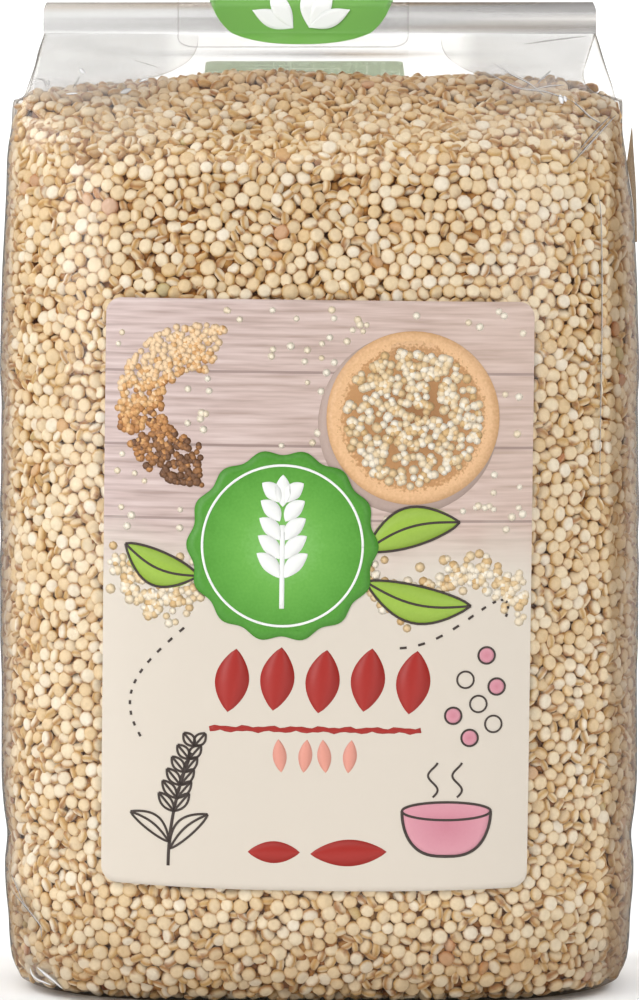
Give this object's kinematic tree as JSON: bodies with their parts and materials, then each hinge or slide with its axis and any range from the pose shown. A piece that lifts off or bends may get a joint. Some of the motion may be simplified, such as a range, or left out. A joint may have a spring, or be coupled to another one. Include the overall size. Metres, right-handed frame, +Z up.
{
  "type": "clear bag of quinoa",
  "caption": "Upright clear film bag filled with pale dry quinoa grain, with a folded gable top, a clear closure sticker and a rounded paper label bent over its front.",
  "frame": {"origin": "middle of the bottom of the bounding box, on the surface that the bag stands on", "axes": "+X to the right as the label is read, +Y to the back, +Z up; the label faces -Y"},
  "size_m": [0.0956, 0.0604, 0.1466],
  "materials": {
    "filled_film": "pale grain behind clear glossy film",
    "label_paper": "printed, satin",
    "sticker_film": "clear glossy film with green print"
  },
  "bodies": {
    "root": {"bag": "filled_film", "front_label": "label_paper", "closure_sticker": "sticker_film"}
  },
  "joints": []
}
